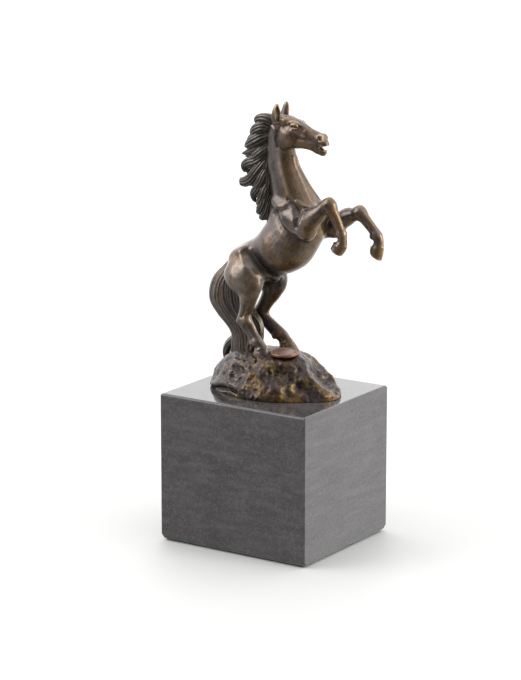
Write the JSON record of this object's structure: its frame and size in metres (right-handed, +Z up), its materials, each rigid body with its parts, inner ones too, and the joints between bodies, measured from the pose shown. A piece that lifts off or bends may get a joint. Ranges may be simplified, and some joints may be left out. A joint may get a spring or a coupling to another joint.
{
  "type": "bronze horse statuette",
  "caption": "Rearing horse cast in dark bronze, standing on a craggy mound and bolted to a polished black stone block.",
  "frame": {"origin": "centre of the flat felt face that the statue rests on", "axes": "+Z up, +X the way the horse faces, +Y towards its left side"},
  "size_m": [0.1055, 0.08, 0.2323],
  "materials": {
    "horse_bronze": "dark brown patina, satin wax polish",
    "hair_bronze": "darker brown patina with rubbed edges",
    "mound_bronze": "mottled brown patina, rough cast",
    "seal_bronze": "coppery brown, satin",
    "stone": "black marble, honed sides and polished top",
    "steel": "zinc plated",
    "felt": "dark green wool felt"
  },
  "bodies": {
    "root": {"stone_block": "stone", "felt_pad": "felt", "clamp_bolt": "steel", "clamp_washer": "steel", "rock_mound": "mound_bronze", "seal_disc": "seal_bronze", "right_hoof_stud": "steel", "left_hoof_stud": "steel", "trunk": "horse_bronze", "head_and_neck": "horse_bronze", "mane": "hair_bronze", "tail": "hair_bronze", "right_foreleg": "horse_bronze", "left_foreleg": "horse_bronze", "right_hind_leg": "horse_bronze", "left_hind_leg": "horse_bronze"}
  },
  "joints": []
}
